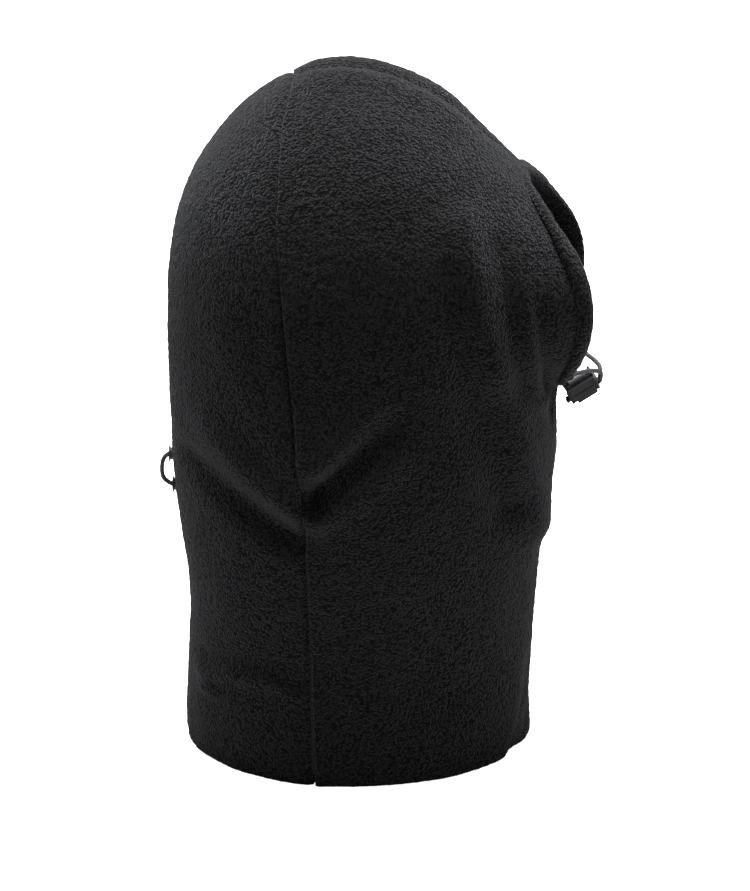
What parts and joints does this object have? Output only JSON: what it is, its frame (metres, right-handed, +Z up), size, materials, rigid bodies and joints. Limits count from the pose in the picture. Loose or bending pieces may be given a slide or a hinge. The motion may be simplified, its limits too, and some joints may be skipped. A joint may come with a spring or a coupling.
{
  "type": "balaclava",
  "caption": "Fleece balaclava with a drawcord face opening, a chin cord lock on a webbing tab and a cinch cord at the nape.",
  "frame": {"origin": "under the middle of the whole object, cord lock and nape loop included, in the plane of the neck hem", "axes": "+Z up from the hem to the crown, the face opening looks along -Y, the wearer's right side is -X"},
  "size_m": [0.158, 0.23, 0.3654],
  "materials": {
    "fleece": "brushed pile, matt with a soft sheen",
    "thread": "spun polyester",
    "cord": "braided shock cord",
    "tape": "woven tape",
    "webbing": "woven ribbon with a slight shine",
    "eyelet": "matt moulded",
    "lock_plastic": "satin moulded",
    "spring_steel": "bright",
    "label": "blank satin label"
  },
  "bodies": {
    "hood": {"right_side_panel": "fleece", "left_side_panel": "fleece", "back_panel": "fleece", "face_casing": "fleece", "chin_binding": "fleece", "hem_facing": "fleece", "right_side_seam": "thread", "left_side_seam": "thread", "crown_cross_seam": "thread", "top_seam": "thread", "front_seam": "thread", "casing_seam": "thread", "hem_stitches": "thread", "nape_stitches": "thread", "label_stitches": "thread", "tab_bar_tacks": "thread", "nape_cord_tacks": "thread", "face_cord": "cord", "nape_cord": "cord", "casing_eyelets": "eyelet", "nape_eyelets": "eyelet", "nape_channel": "tape", "webbing_tab": "webbing", "care_label": "label"},
    "cord_lock": {"lock_housing": "lock_plastic", "lock_cord_ends": "cord", "cord_tips": "lock_plastic", "lock_spring": "spring_steel"},
    "button": {"lock_button": "lock_plastic"}
  },
  "joints": [
    {"name": "lock_swing", "type": "hinge", "parent": "hood", "child": "cord_lock", "pos_m": [0, -0.1017, 0.1985], "axis": [0, 0.829, -0.5593], "range_deg": [-50, 50]},
    {"name": "button_press", "type": "slide", "parent": "cord_lock", "child": "button", "axis": [0, 0.5593, 0.829], "range_m": [0, 0.002], "stiffness_N_per_m": 400, "springref_m": -0.001, "deforming": ["lock_spring"]}
  ]
}
